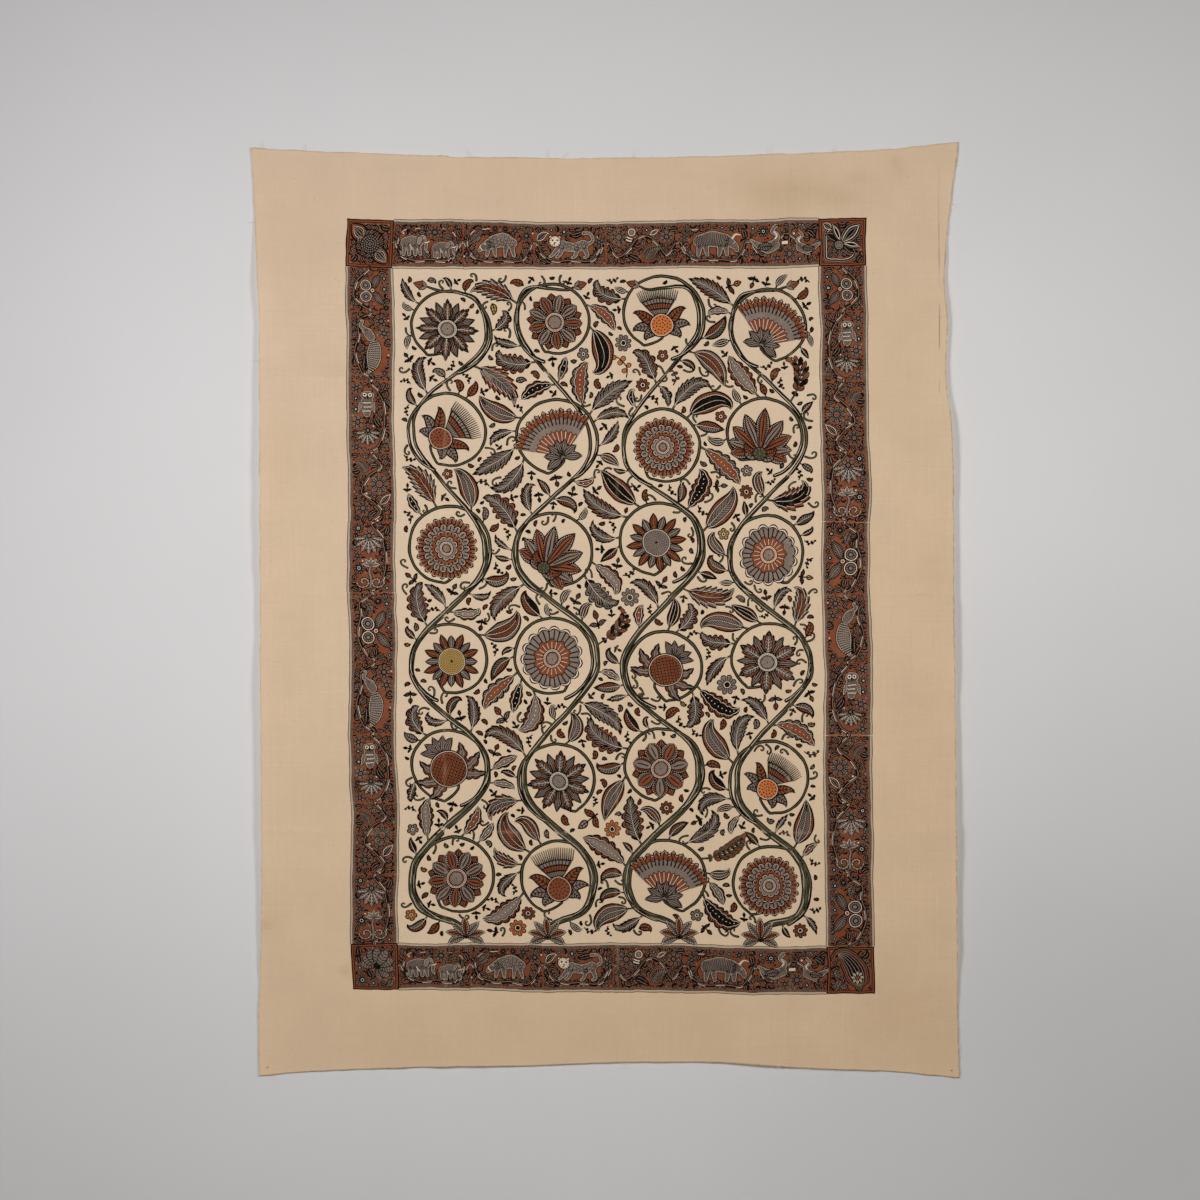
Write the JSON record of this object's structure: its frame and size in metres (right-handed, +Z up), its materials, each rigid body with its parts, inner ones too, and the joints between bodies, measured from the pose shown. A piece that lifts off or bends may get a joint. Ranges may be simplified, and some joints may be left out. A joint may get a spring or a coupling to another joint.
{
  "type": "kalamkari panel",
  "caption": "Upright rectangular printed cotton wall panel with raw edges, lying against a wall and held at its corners, its side edges curling slightly forward.",
  "frame": {"origin": "middle of the cloth's top edge, on the wall plane that the back lies against", "axes": "+X to the viewer's right, +Z up, and the printed face looks along -Y away from the wall"},
  "size_m": [1.205, 0.0158, 1.591],
  "materials": {
    "printed_cotton": "plain woven unbleached cotton, matt, printed in dark natural dyes"
  },
  "bodies": {
    "root": {"cloth": "printed_cotton"}
  },
  "joints": []
}
